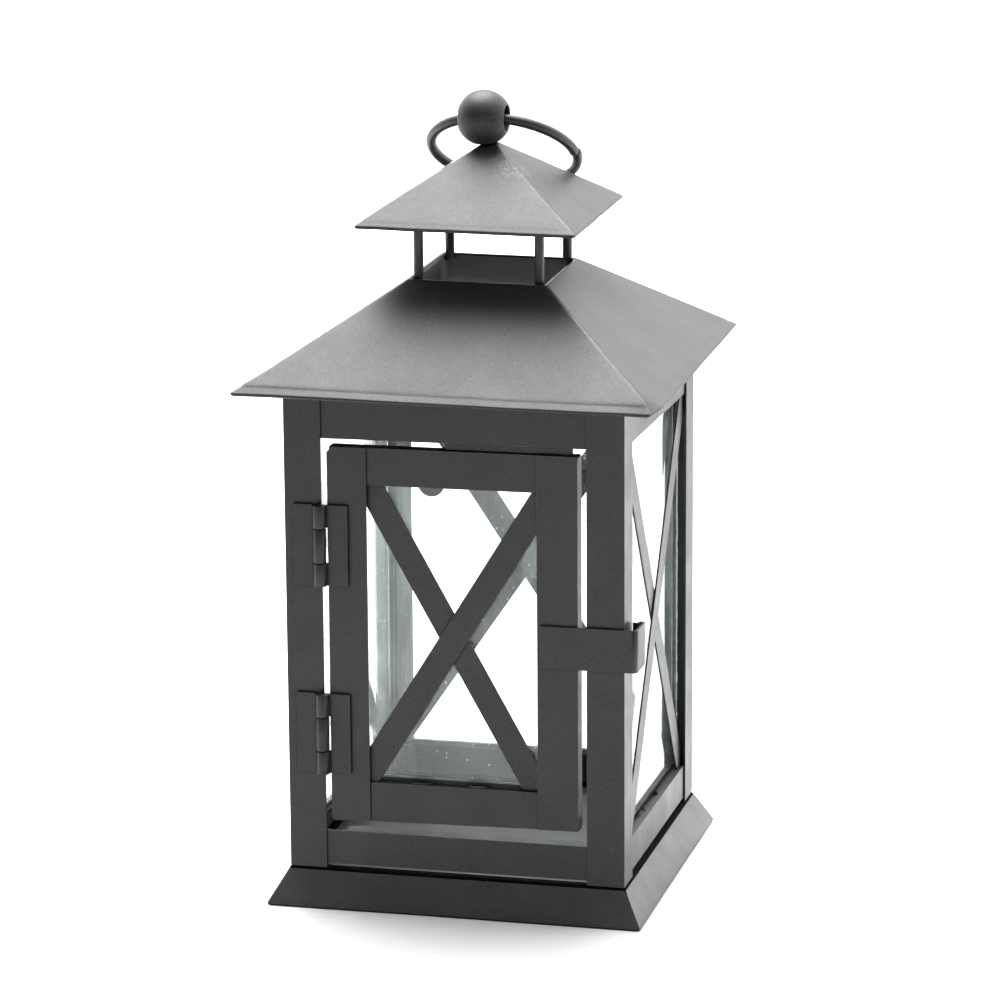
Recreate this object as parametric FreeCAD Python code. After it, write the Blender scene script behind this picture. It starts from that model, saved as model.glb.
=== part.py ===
import FreeCAD, Part
import math
import os

V = FreeCAD.Vector

# ---------------------------------------------------------------- dimensions
# Millimetres. +Z up, +X to the right along the door wall, +Y to the back.
# The origin is the centre of the square that the base stands on.

SHEET = 0.6                 # steel sheet of every frame piece

# base pan: floor plate with a flared skirt
SKIRT_FOOT = 59.0           # half width at the ground
SKIRT_TOP = 52.5            # half width at the floor plate
FLOOR_Z = 11.5              # top of the floor plate
FOOT_HEM = 3.2              # inward hem that the pan stands on

# body frame
BODY = 52.5                 # half width over the corner posts
POST_LEG = 11.6             # leg of the corner angle
OPEN_Z0 = 23.5              # lower edge of each wall opening
OPEN_Z1 = 146.0             # upper edge of each wall opening
RAIL_Z0 = 12.8              # lower edge of the bottom rails
RAIL_REACH = 45.5           # rails end this far from the centre line, behind the posts
LEDGE = 5.5                 # depth of the rails' inward ledge, face included
LEDGE_REACH = 44.0

# braces and panes
STRIP_W = 8.0
PANE_T = 2.0
PANE_HALF = 45.0
TAB_R = 4.1
TAB_H = 3.4

# main roof
EAVE = 64.25                # half width at the eave
EAVE_Z = 162.8
ROOF_OPEN = 20.95           # half width of the chimney opening, over the lip
ROOF_OPEN_Z = 191.5
ROOF_HEM = 4.2
ROOF_LIP = 10.0
ROOF_LEAN_X = 2.4           # the roof and all it carries lean to the door side, degrees
ROOF_LEAN_Y = 0.75          # and a little to the right

# chimney cap
CAP_EAVE = 34.15
CAP_EAVE_Z = 208.5
CAP_APEX_Z = 231.5
CAP_FLAT_Z = 229.95
CAP_HEM = 2.6
CAP_X = -0.8                # the cap sits a little left of the roof's centre
ROD_R = 1.5
ROD_AT = 18.85
ROD_Z0 = 189.3

# finial ball, its screw and the carrying ring
BALL_R = 8.5
BALL_X = -2.9
BALL_Z = 237.7
BALL_HOLE_R = 3.9
SCREW_R = 1.45
SCREW_HOLE_R = 1.5
SCREW_HEAD_R = 2.7
RING_R = 22.9               # centre line of the ring
RING_WIRE_R = 1.4
RING_DROP = 35.5            # ring plane below the roof's level, towards the back, degrees
RING_OFFSET = 0.2           # wire below the hole's axis at the middle of the ring
RING_SLIDE = 1.7            # middle of the ring to the right of the ball's
RING_JOINT_AT = 97.0        # place of the butt joint around the ring, degrees
RING_JOINT_GAP = 0.8        # degrees

# door
DOOR_FACE_Y = -52.7
DOOR_X0, DOOR_X1 = -39.0, 38.3
DOOR_Z0, DOOR_Z1 = 27.4, 143.7
DOOR_FOOT_X, DOOR_FOOT_SLOPE = -14.0, 0.017     # the lower edge rises a little to the right
WIN_X0, WIN_X1 = -26.8, 25.75
WIN_Z0, WIN_Z1 = 39.6, 132.2
DOOR_PANE_X0, DOOR_PANE_X1 = -36.0, 35.3
DOOR_RISE = (-0.8, 85.0, 1.60)      # x, z and slope of the front strip
DOOR_FALL = (0.0, 85.0, -1.786)     # x, z and slope of the strip behind

# hinges
PIN_X, PIN_Y = -41.0, -54.5
PIN_R = 0.95
KNUCKLE_BORE_R = 1.0
KNUCKLE_R = 2.0
LEAF_T = 1.0
LEAF_REACH = 8.5
HINGE_H = 25.0
HINGE_MID = 10.6
HINGE_GAP = 0.15
HINGES = {"upper": 100.9, "lower": 42.1}

# latch strap
LATCH_T = 0.8
LATCH_Z0, LATCH_Z1 = 78.8, 91.9
LATCH_X0 = 26.6
LATCH_X1 = 56.6


# ---------------------------------------------------------------- helpers
def box(x0, x1, y0, y1, z0, z1):
    return Part.makeBox(x1 - x0, y1 - y0, z1 - z0, V(x0, y0, z0))


def cyl(r, base, direction, length):
    return Part.makeCylinder(r, length, V(*base), V(*direction))


def prism(points, direction):
    """Solid from a closed polygon pushed along a vector."""
    pts = [V(*p) for p in points]
    return Part.Face(Part.makePolygon(pts + [pts[0]])).extrude(V(*direction))


def corners(half, z):
    return [V(-half, -half, z), V(half, -half, z), V(half, half, z), V(-half, half, z)]


def frustum(h0, z0, h1, z1):
    """Square pyramid frustum with flat faces."""
    lo, hi = corners(h0, z0), corners(h1, z1)
    loops = [lo, hi]
    for i in range(4):
        j = (i + 1) % 4
        loops.append([lo[i], lo[j], hi[j], hi[i]])
    faces = [Part.Face(Part.makePolygon(p + [p[0]])) for p in loops]
    solid = Part.makeSolid(Part.makeShell(faces))
    if solid.Volume < 0:
        solid.reverse()
    return solid


def turned(shape, degrees):
    s = shape.copy()
    s.rotate(V(0, 0, 0), V(0, 0, 1), degrees)
    return s


def lean(shape):
    """From the roof's own upright frame to its place on the posts."""
    s = shape.copy()
    s.rotate(V(0, 0, EAVE_Z), V(1, 0, 0), ROOF_LEAN_X)
    s.rotate(V(0, 0, EAVE_Z), V(0, 1, 0), ROOF_LEAN_Y)
    return s


def shifted(shape, x):
    s = shape.copy()
    s.translate(V(x, 0, 0))
    return s


def strap_face(points, radii, thick, z):
    """Flat bent strip seen from above: a centre line with rounded corners, given thickness."""
    h = thick / 2.0
    left, right = [], []
    P = [V(x, y, z) for x, y in points]
    n = len(P)
    starts = []
    for i in range(1, n - 1):
        a, b, c = P[i - 1], P[i], P[i + 1]
        d1 = (b - a).normalize()
        d2 = (c - b).normalize()
        cross = d1.x * d2.y - d1.y * d2.x
        turn = math.atan2(abs(cross), d1.dot(d2))
        r = radii[i - 1]
        tl = r * math.tan(turn / 2.0)
        t1 = b - d1 * tl
        t2 = b + d2 * tl
        side = 1.0 if cross > 0 else -1.0
        nrm = V(-d1.y, d1.x, 0) * side
        centre = t1 + nrm * r
        bis = (b - centre).normalize()
        starts.append((t1, t2, centre, bis, r, side))
    def off(p, d, s):
        return p + V(-d.y, d.x, 0) * (h * s)
    def side_edges(s):
        edges = []
        cur = off(P[0], (P[1] - P[0]).normalize(), s)
        for i, (t1, t2, c, bis, r, side) in enumerate(starts):
            d1 = (P[i + 1] - P[i]).normalize()
            d2 = (P[i + 2] - P[i + 1]).normalize()
            a = off(t1, d1, s)
            b = off(t2, d2, s)
            rr = r - h * s * side
            m = c + bis * rr
            edges.append(Part.LineSegment(cur, a).toShape())
            edges.append(Part.Arc(a, m, b).toShape())
            cur = b
        end = off(P[-1], (P[-1] - P[-2]).normalize(), s)
        edges.append(Part.LineSegment(cur, end).toShape())
        return edges, off(P[0], (P[1] - P[0]).normalize(), s), end
    le, ls, lend = side_edges(1.0)
    re, rs, rend = side_edges(-1.0)
    caps = [Part.LineSegment(lend, rend).toShape(), Part.LineSegment(rs, ls).toShape()]
    wire = Part.Wire(Part.__sortEdges__(le + [caps[0]] + re + [caps[1]]))
    return Part.Face(wire)


PARTS = {}


def add(name, shape):
    shape = shape.removeSplitter()
    solids = shape.Solids
    if len(solids) == 1:
        shape = solids[0]
    PARTS[name] = shape


# ---------------------------------------------------------------- base pan
flare = math.atan((SKIRT_FOOT - SKIRT_TOP) / FLOOR_Z)
across = SHEET / math.cos(flare)
outer = frustum(SKIRT_FOOT, 0, SKIRT_TOP, FLOOR_Z)
inner_top_z = FLOOR_Z - SHEET
inner_top = SKIRT_TOP + (SKIRT_FOOT - SKIRT_TOP) * SHEET / FLOOR_Z - across
inner = frustum(SKIRT_FOOT - across, 0, inner_top, inner_top_z)
hem = box(-SKIRT_FOOT + 0.6, SKIRT_FOOT - 0.6, -SKIRT_FOOT + 0.6, SKIRT_FOOT - 0.6, 0, SHEET).cut(
    box(-SKIRT_FOOT + FOOT_HEM, SKIRT_FOOT - FOOT_HEM, -SKIRT_FOOT + FOOT_HEM, SKIRT_FOOT - FOOT_HEM, -1, 2))
base = outer.cut(inner).fuse(hem.common(outer))
# small relief hole where two folds meet at each corner
for sx in (-1, 1):
    for sy in (-1, 1):
        base = base.cut(cyl(0.55, (sx * (SKIRT_TOP + 0.15), sy * (SKIRT_TOP + 0.15), FLOOR_Z - 1.6), (0, 0, 1), 3.0))
add("base_pan", base)

# ---------------------------------------------------------------- roof surfaces
ROOF_M = (ROOF_OPEN_Z - EAVE_Z) / (EAVE - ROOF_OPEN)
ROOF_DZ = SHEET * math.sqrt(1 + ROOF_M ** 2)


def roof_top(d):
    return EAVE_Z + ROOF_M * (EAVE - d)


CAP_M = (CAP_APEX_Z - CAP_EAVE_Z) / CAP_EAVE
CAP_DZ = SHEET * math.sqrt(1 + CAP_M ** 2)

def below(e, z0, m, drop, z_low, z_high):
    """Pyramid space under a sloping skin, drop below its top face."""
    def d(z):
        return e - (z + drop - z0) / m
    return frustum(d(z_low), z_low, d(z_high), z_high)


under_roof = lean(below(EAVE, EAVE_Z, ROOF_M, ROOF_DZ + 0.02, -30.0, ROOF_OPEN_Z))

# ---------------------------------------------------------------- corner posts, trimmed to the roof's slope
post_top = 178.0
post = box(-BODY, -BODY + POST_LEG, -BODY, -BODY + SHEET, FLOOR_Z, post_top).fuse(
    box(-BODY, -BODY + SHEET, -BODY, -BODY + POST_LEG, FLOOR_Z, post_top))
for name, deg in (("front_left", 0), ("front_right", 90), ("back_right", 180), ("back_left", 270)):
    add("corner_post_" + name, turned(post, deg).common(under_roof))

# ---------------------------------------------------------------- wall pieces, front wall position
RAIL_D1 = BODY - SHEET              # outer face of the rails
RAIL_D0 = RAIL_D1 - SHEET
LEDGE_D = RAIL_D1 - LEDGE
TAB_D = LEDGE_D                     # inner face of the tabs
TAB_D1 = TAB_D + SHEET
PANE_D0 = TAB_D1
PANE_D1 = PANE_D0 + PANE_T


def half_disc(h, d0, d1, z, up):
    disc = cyl(TAB_R, (h, -d1, z - up * (TAB_R - TAB_H)), (0, 1, 0), d1 - d0)
    keep = box(h - 6, h + 6, -d1 - 1, -d0 + 1, z if up > 0 else z - 6, z + 6 if up > 0 else z)
    return disc.common(keep)


def slot_cut(h, d0, z0, z1):
    disc = cyl(TAB_R, (h, -d0 + (TAB_R - TAB_H), z0), (0, 0, 1), z1 - z0)
    keep = box(h - 6, h + 6, -d0 - 6, -d0, z0 - 1, z1 + 1)
    return disc.common(keep)


def bottom_rail(tabs):
    s = box(-RAIL_REACH, RAIL_REACH, -RAIL_D1, -RAIL_D0, RAIL_Z0, OPEN_Z0)
    s = s.fuse(box(-LEDGE_REACH, LEDGE_REACH, -RAIL_D0, -LEDGE_D, OPEN_Z0 - SHEET, OPEN_Z0))
    for h in tabs:
        s = s.fuse(half_disc(h, TAB_D, TAB_D1, OPEN_Z0, 1)).cut(slot_cut(h, TAB_D1, OPEN_Z0 - SHEET - 0.1, OPEN_Z0 + 0.1))
    return s


def top_rail(tabs, deg):
    """Upper rail of one wall: face, ledge and tabs, with a flange that follows the roof's underside."""
    web = box(-RAIL_REACH, RAIL_REACH, -RAIL_D1, -RAIL_D0, OPEN_Z1, 178.0)
    for_pane = box(-LEDGE_REACH, LEDGE_REACH, -RAIL_D0, -LEDGE_D, OPEN_Z1, OPEN_Z1 + SHEET)
    for h in tabs:
        for_pane = for_pane.fuse(half_disc(h, TAB_D, TAB_D1, OPEN_Z1, -1)).cut(
            slot_cut(h, TAB_D1, OPEN_Z1 - 0.1, OPEN_Z1 + SHEET + 0.1))
    z0 = roof_top(60.0) - ROOF_DZ - 0.02
    z1 = roof_top(36.0) - ROOF_DZ - 0.02
    skin = prism([(-60, -60, z0), (-60, -36, z1), (-60, -36, z1 - ROOF_DZ), (-60, -60, z0 - ROOF_DZ)], (120, 0, 0))
    skin = lean(turned(skin, deg)).common(turned(box(-LEDGE_REACH, LEDGE_REACH, -RAIL_D0, -44.6, 150, 190), deg))
    return turned(web, deg).common(under_roof).fuse(skin).fuse(turned(for_pane, deg))


def strip(x, z, slope, width, d0, d1, xlim, zlim):
    """Flat diagonal strip in a wall, trimmed to a rectangle."""
    L = 200.0
    n = math.sqrt(1 + slope * slope)
    ux, uz = 1 / n, slope / n
    px, pz = -uz, ux
    w = width / 2.0
    pts = [(x - L * ux + w * px, -d1, z - L * uz + w * pz), (x + L * ux + w * px, -d1, z + L * uz + w * pz),
           (x + L * ux - w * px, -d1, z + L * uz - w * pz), (x - L * ux - w * px, -d1, z - L * uz - w * pz)]
    s = prism(pts, (0, d1 - d0, 0))
    return s.common(box(xlim[0], xlim[1], -d1 - 1, -d0 + 1, zlim[0], zlim[1]))


CORNER_SLOPE = (OPEN_Z1 - OPEN_Z0) / (2 * (BODY - POST_LEG))
MID_Z = (OPEN_Z0 + OPEN_Z1) / 2
rise = strip(0, MID_Z, CORNER_SLOPE, STRIP_W, RAIL_D0 - SHEET, RAIL_D0, (-RAIL_REACH, RAIL_REACH), (OPEN_Z0, OPEN_Z1))
fall = strip(0, MID_Z, -CORNER_SLOPE, STRIP_W, RAIL_D0 - 2 * SHEET, RAIL_D0 - SHEET, (-RAIL_REACH, RAIL_REACH), (OPEN_Z0, OPEN_Z1))
# the back wall's second strip was fixed a little off the corners
fall_back = strip(4.7, MID_Z, -1.4524, STRIP_W, RAIL_D0 - 2 * SHEET, RAIL_D0 - SHEET, (-RAIL_REACH, RAIL_REACH), (OPEN_Z0, OPEN_Z1))
pane = box(-PANE_HALF, PANE_HALF, -PANE_D1, -PANE_D0, OPEN_Z0, OPEN_Z1)

# the front wall's ledge is notched beside the left post
front_bottom = bottom_rail(()).cut(box(-60, -34.8, -RAIL_D0 - 0.01, -40, OPEN_Z0 - 2, OPEN_Z0 + 2))
add("bottom_rail_front", front_bottom)
# a second sheet behind it hangs a little lower and stops the door's upper right
stop = box(-2.5, 36.6, -RAIL_D0, -RAIL_D0 + SHEET, DOOR_Z1 + 0.35, OPEN_Z1 + SHEET)
add("top_rail_front", top_rail((), 0).fuse(stop))
for name, deg in (("right", 90), ("back", 180), ("left", 270)):
    add("bottom_rail_" + name, turned(bottom_rail((-12.0, 7.0)), deg))
    add("top_rail_" + name, top_rail((-7.7,), deg))
    add("brace_%s_rising" % name, turned(rise, deg))
    add("brace_%s_falling" % name, turned(fall_back if name == "back" else fall, deg))
    add("glass_" + name, turned(pane, deg))

# ---------------------------------------------------------------- main roof
shell = frustum(EAVE, EAVE_Z, ROOF_OPEN, ROOF_OPEN_Z)
inside = below(EAVE, EAVE_Z, ROOF_M, ROOF_DZ, EAVE_Z, ROOF_OPEN_Z)
roof = shell.cut(inside)
hem_top = EAVE_Z + ROOF_HEM * ROOF_M / math.sqrt(1 + ROOF_M ** 2)
hem = inside.cut(below(EAVE, EAVE_Z, ROOF_M, 2 * ROOF_DZ, EAVE_Z, ROOF_OPEN_Z)).common(
    box(-80, 80, -80, 80, EAVE_Z, hem_top))
roof = roof.fuse(hem)
lip = box(-ROOF_OPEN, ROOF_OPEN, -ROOF_OPEN, ROOF_OPEN, ROOF_OPEN_Z - ROOF_LIP, ROOF_OPEN_Z)
hole = ROOF_OPEN - SHEET
roof = roof.fuse(lip).cut(box(-hole, hole, -hole, hole, 150, 200))
add("main_roof", lean(roof))

# ---------------------------------------------------------------- cap, rods, ball and screw
cap_flat = (CAP_APEX_Z - CAP_FLAT_Z) / CAP_M
cap_shell = frustum(CAP_EAVE, CAP_EAVE_Z, cap_flat, CAP_FLAT_Z)
plate_z = CAP_FLAT_Z - 0.7
cap_in = below(CAP_EAVE, CAP_EAVE_Z, CAP_M, CAP_DZ, CAP_EAVE_Z, plate_z)
cap = cap_shell.cut(cap_in)
cap_hem_top = CAP_EAVE_Z + CAP_HEM * CAP_M / math.sqrt(1 + CAP_M ** 2)
cap_hem = cap_in.cut(below(CAP_EAVE, CAP_EAVE_Z, CAP_M, 2 * CAP_DZ, CAP_EAVE_Z, plate_z)).common(
    box(-80, 80, -80, 80, CAP_EAVE_Z, cap_hem_top))
cap = shifted(cap.fuse(cap_hem), CAP_X).cut(cyl(SCREW_HOLE_R, (BALL_X, 0, 220), (0, 0, 1), 15))
add("upper_cap", lean(cap))

under_cap = shifted(below(CAP_EAVE, CAP_EAVE_Z, CAP_M, CAP_DZ + 0.02, 170.0, plate_z), CAP_X)
for name, sx, sy in (("front_left", -1, -1), ("front_right", 1, -1), ("back_right", 1, 1), ("back_left", -1, 1)):
    rod = cyl(ROD_R, (sx * ROD_AT, sy * ROD_AT, ROD_Z0), (0, 0, 1), 45).common(under_cap)
    add("cap_rod_" + name, lean(rod))

ball = Part.makeSphere(BALL_R, V(BALL_X, 0, BALL_Z))
ball = ball.cut(shifted(cap_shell, CAP_X))
ball = ball.cut(cyl(BALL_HOLE_R, (BALL_X - 12, 0, BALL_Z), (1, 0, 0), 24))
ball = ball.cut(cyl(SCREW_HOLE_R, (BALL_X, 0, 225), (0, 0, 1), 8.4))
add("ball_finial", lean(ball))

head_z1 = CAP_APEX_Z - CAP_DZ - CAP_M * (SCREW_HEAD_R + abs(BALL_X - CAP_X)) - 0.03
head_z0 = head_z1 - 2.0
screw = cyl(SCREW_HEAD_R, (BALL_X, 0, head_z0), (0, 0, 1), 2.0)
screw = screw.fuse(cyl(SCREW_R, (BALL_X, 0, head_z0 + 1), (0, 0, 1), 233.0 - head_z0 - 1))
for a in (0, 90):
    slot = turned(box(-1.6, 1.6, -0.3, 0.3, head_z0 - 1, head_z0 + 1.0), a)
    screw = screw.cut(shifted(slot, BALL_X))
add("ball_screw", lean(screw))

# ---------------------------------------------------------------- carrying ring
down = math.radians(RING_DROP)
dv = V(0, math.cos(down), -math.sin(down))
centre = V(BALL_X + RING_SLIDE, 0, BALL_Z) + dv * (RING_OFFSET + RING_R)
# the ring is drawn flat with its gap at the joint, then laid in its plane
sweep = 360.0 - RING_JOINT_GAP
ring = Part.makeTorus(RING_R, RING_WIRE_R, V(0, 0, 0), V(0, 0, 1), -180, 180, sweep)
# local x of the torus starts at angle 0; local frame: a = towards the ball, b = +X of the lantern
a = dv * -1.0
b = V(1, 0, 0)
nrm = a.cross(b)
m = FreeCAD.Matrix(a.x, b.x, nrm.x, centre.x, a.y, b.y, nrm.y, centre.y, a.z, b.z, nrm.z, centre.z, 0, 0, 0, 1)
ring.rotate(V(0, 0, 0), V(0, 0, 1), RING_JOINT_AT + RING_JOINT_GAP / 2.0)
ring.transformShape(m)
add("carry_ring", lean(ring))

# ---------------------------------------------------------------- door
FY = DOOR_FACE_Y
BY = DOOR_FACE_Y + SHEET                # back of the sheet
RY = DOOR_FACE_Y + LEDGE                # back edge of the door's flanges


def door_foot(x):
    return DOOR_Z0 + DOOR_FOOT_SLOPE * (x - DOOR_FOOT_X)


LOW = DOOR_Z0 - 3.0
under_door = prism([(-60, -60, door_foot(-60)), (60, -60, door_foot(60)), (60, -60, 0), (-60, -60, 0)], (0, 40, 0))
left = box(DOOR_X0, WIN_X0, FY, BY, LOW, DOOR_Z1).fuse(box(DOOR_X0, DOOR_X0 + SHEET, FY, RY, LOW, DOOR_Z1))
right = box(WIN_X1, DOOR_X1, FY, BY, LOW, DOOR_Z1).fuse(box(DOOR_X1 - SHEET, DOOR_X1, FY, RY, LOW, DOOR_Z1))
left, right = left.cut(under_door), right.cut(under_door)
# corner reliefs where the flanges meet, and a rounded lower right corner
left = left.cut(box(DOOR_X0 - 1, DOOR_X0 + 0.9, FY - 1, RY + 1, DOOR_Z1 - 1.5, DOOR_Z1 + 1))
left = left.cut(box(DOOR_X0 - 1, DOOR_X0 + 0.5, FY - 1, RY + 1, door_foot(DOOR_X0) - 1, door_foot(DOOR_X0) + 0.7))


def rounded_corner(x, z, sx, sz, r):
    block = box(min(x, x + sx * r), max(x, x + sx * r), FY - 1, RY + 1, min(z, z + sz * r), max(z, z + sz * r))
    return block.cut(cyl(r, (x, FY - 2, z), (0, 1, 0), LEDGE + 4))


right = right.cut(rounded_corner(DOOR_X1 - 1.1, door_foot(DOOR_X1) + 1.1, 1, -1, 1.1))
right = right.cut(rounded_corner(DOOR_X1 - 0.7, DOOR_Z1 - 0.7, 1, 1, 0.7))
add("door_left_stile", left)
add("door_right_stile", right)


def door_rail(z_out, z_in, tabs):
    """Channel section, one sheet behind the stiles' faces, with a ledge for the pane."""
    up = 1 if z_in > z_out else -1
    z0, z1 = sorted((z_out, z_in))
    fx0, fx1 = DOOR_X0 + SHEET, DOOR_X1 - SHEET
    if up > 0:
        fx1 -= 0.6
    s = box(fx0, fx1, BY, BY + SHEET, LOW if up > 0 else z0, z1)
    if up > 0:
        f0, f1 = door_foot(fx0), door_foot(fx1)
        s = s.cut(under_door)
        s = s.fuse(prism([(fx0, BY, f0), (fx1, BY, f1), (fx1, BY, f1 + SHEET), (fx0, BY, f0 + SHEET)], (0, RY - BY, 0)))
        s = s.fuse(box(fx0, fx1, BY, RY, z1 - SHEET, z1))
    else:
        for a0 in (z0, z1 - SHEET):
            s = s.fuse(box(fx0, fx1, BY, RY, a0, a0 + SHEET))
    for h in tabs:
        d0 = -RY
        s = s.fuse(half_disc(h, d0, d0 + SHEET, z_in, up))
        lo, hi = sorted((z_in - up * (SHEET + 0.1), z_in + up * 0.1))
        s = s.cut(slot_cut(h, d0 + SHEET, lo, hi).common(box(-60, 60, BY + SHEET + 0.1, 0, 0, 200)))
    return s


add("door_bottom_rail", door_rail(DOOR_Z0, WIN_Z0, (-11.2, 6.4)))
add("door_top_rail", door_rail(DOOR_Z1, WIN_Z1, (-7.7,)))
dz = (WIN_Z0, WIN_Z1)
dx = (-36.0, 35.3)
add("door_brace_rising", strip(*DOOR_RISE, STRIP_W, -BY - 2 * SHEET, -BY - SHEET, dx, dz))
add("door_brace_falling", strip(*DOOR_FALL, STRIP_W, -BY - 3 * SHEET, -BY - 2 * SHEET, dx, dz))
pane_y1 = RY - SHEET
add("door_glass", box(DOOR_PANE_X0, DOOR_PANE_X1, pane_y1 - PANE_T, pane_y1, WIN_Z0, WIN_Z1))

# ---------------------------------------------------------------- hinges
for name, z0 in HINGES.items():
    z1 = z0 + HINGE_H
    zm0 = z0 + (HINGE_H - HINGE_MID) / 2
    zm1 = zm0 + HINGE_MID
    bore = cyl(KNUCKLE_BORE_R, (PIN_X, PIN_Y, z0 - 1), (0, 0, 1), HINGE_H + 2)
    # frame leaf: middle knuckle
    y0, y1 = -BODY - LEAF_T, -BODY
    leaf = box(PIN_X - LEAF_REACH, PIN_X - KNUCKLE_R - 0.35, y0, y1, z0, z1)
    tongue = box(PIN_X - LEAF_REACH + 3, PIN_X, y0, y1, zm0 + HINGE_GAP, zm1 - HINGE_GAP)
    knuckle = cyl(KNUCKLE_R, (PIN_X, PIN_Y, zm0 + HINGE_GAP), (0, 0, 1), HINGE_MID - 2 * HINGE_GAP)
    add("hinge_%s_frame_leaf" % name, leaf.fuse(tongue).fuse(knuckle).cut(bore))
    # door leaf: upper and lower knuckles
    y0, y1 = DOOR_FACE_Y - LEAF_T, DOOR_FACE_Y
    leaf = box(PIN_X + KNUCKLE_R + 0.35, PIN_X + LEAF_REACH, y0, y1, z0, z1)
    for a0, a1 in ((z0, zm0 - HINGE_GAP), (zm1 + HINGE_GAP, z1)):
        tongue = box(PIN_X, PIN_X + LEAF_REACH - 3, y0, y1, a0, a1)
        leaf = leaf.fuse(tongue).fuse(cyl(KNUCKLE_R, (PIN_X, PIN_Y, a0), (0, 0, 1), a1 - a0))
    add("hinge_%s_door_leaf" % name, leaf.cut(bore))
    pin = cyl(PIN_R, (PIN_X, PIN_Y, z0 - 0.1), (0, 0, 1), HINGE_H + 0.2)
    pin = pin.makeChamfer(0.25, [e for e in pin.Edges if len(e.Vertexes) == 1])
    add("hinge_%s_pin" % name, pin)

# ---------------------------------------------------------------- latch strap
face_y = DOOR_FACE_Y - LATCH_T / 2
leg_x = LATCH_X1 - LATCH_T / 2
path = [(LATCH_X0, face_y), (leg_x, face_y), (leg_x, -41.6), (leg_x - 1.4, -41.6), (54.35, -45.3), (53.25, -42.5)]
strap = strap_face(path, [1.3, 0.66, 0.6, 0.62], LATCH_T, LATCH_Z0).extrude(V(0, 0, LATCH_Z1 - LATCH_Z0))
add("latch_strap", strap)

# ---------------------------------------------------------------- write
os.makedirs("parts", exist_ok=True)
for f in os.listdir("parts"):
    if f.endswith(".step"):
        os.remove(os.path.join("parts", f))
total = 0.0
for name, shape in PARTS.items():
    if not shape.isValid():
        print("not valid:", name)
    if not shape.Solids:
        print("no solid:", name)
    total += shape.Volume
    shape.exportStep("parts/%s.step" % name)
    bb = shape.BoundBox
    print("%-26s %d solid(s) %9.1f mm3  x %.2f %.2f  y %.2f %.2f  z %.2f %.2f" % (
        name, len(shape.Solids), shape.Volume, bb.XMin, bb.XMax, bb.YMin, bb.YMax, bb.ZMin, bb.ZMax))
print(len(PARTS), "nodes, volume", round(total, 1), "mm3")
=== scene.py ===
import math
import random

import bpy
from mathutils import Matrix, Vector, noise


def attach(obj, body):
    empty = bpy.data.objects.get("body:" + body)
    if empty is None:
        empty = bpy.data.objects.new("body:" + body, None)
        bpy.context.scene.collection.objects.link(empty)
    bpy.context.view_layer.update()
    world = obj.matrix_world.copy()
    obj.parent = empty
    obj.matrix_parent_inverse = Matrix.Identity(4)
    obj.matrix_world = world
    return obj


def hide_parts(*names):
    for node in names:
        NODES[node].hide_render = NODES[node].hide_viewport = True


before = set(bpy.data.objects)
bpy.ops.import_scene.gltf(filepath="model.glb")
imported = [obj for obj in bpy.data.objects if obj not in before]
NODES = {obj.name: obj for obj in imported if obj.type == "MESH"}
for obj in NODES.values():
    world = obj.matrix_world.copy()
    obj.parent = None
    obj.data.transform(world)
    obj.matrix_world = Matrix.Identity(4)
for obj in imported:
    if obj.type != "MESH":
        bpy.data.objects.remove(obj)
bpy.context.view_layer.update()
MM = 0.001
scene = bpy.context.scene


# ------------------------------------------------------------------ node helpers
class Tree:
    """A material's node tree, with short calls for the nodes used below."""

    def __init__(self, name):
        self.mat = bpy.data.materials.new(name)
        self.mat.use_nodes = True
        self.nt = self.mat.node_tree
        self.nt.nodes.clear()
        self.out = self.add("ShaderNodeOutputMaterial")

    def add(self, kind, **values):
        n = self.nt.nodes.new(kind)
        for k, v in values.items():
            setattr(n, k, v)
        return n

    def put(self, socket, value):
        if isinstance(value, bpy.types.NodeSocket):
            self.nt.links.new(value, socket)
        else:
            socket.default_value = value

    def math(self, op, a, b=0.0, c=0.0, clamp=False):
        n = self.add("ShaderNodeMath", operation=op, use_clamp=clamp)
        self.put(n.inputs[0], a)
        self.put(n.inputs[1], b)
        if op in ("MULTIPLY_ADD", "SMOOTH_MIN", "COMPARE"):
            self.put(n.inputs[2], c)
        return n.outputs[0]

    def step(self, value, lo, hi, to_lo=0.0, to_hi=1.0):
        n = self.add("ShaderNodeMapRange", interpolation_type="SMOOTHSTEP", clamp=True)
        self.put(n.inputs["Value"], value)
        self.put(n.inputs["From Min"], lo)
        self.put(n.inputs["From Max"], hi)
        self.put(n.inputs["To Min"], to_lo)
        self.put(n.inputs["To Max"], to_hi)
        return n.outputs[0]

    def noise(self, vec, scale, detail=2.0, rough=0.5, distortion=0.0):
        n = self.add("ShaderNodeTexNoise")
        self.put(n.inputs["Vector"], vec)
        n.inputs["Scale"].default_value = scale
        n.inputs["Detail"].default_value = detail
        n.inputs["Roughness"].default_value = rough
        n.inputs["Distortion"].default_value = distortion
        return n.outputs["Fac"]

    def cells(self, vec, scale, feature="F1"):
        n = self.add("ShaderNodeTexVoronoi", feature=feature)
        self.put(n.inputs["Vector"], vec)
        n.inputs["Scale"].default_value = scale
        return n

    def mix(self, fac, a, b, mode="MIX"):
        n = self.add("ShaderNodeMix", data_type="RGBA", blend_type=mode)
        self.put(n.inputs[0], fac)
        self.put(n.inputs[6], a)
        self.put(n.inputs[7], b)
        return n.outputs[2]

    def mm(self, scale=(1000.0, 1000.0, 1000.0), shift=(0.0, 0.0, 0.0)):
        """The piece's own coordinates in millimetres."""
        tc = self.add("ShaderNodeTexCoord")
        m = self.add("ShaderNodeMapping")
        self.nt.links.new(tc.outputs["Object"], m.inputs["Vector"])
        m.inputs["Scale"].default_value = scale
        m.inputs["Location"].default_value = shift
        return m.outputs["Vector"]


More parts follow.
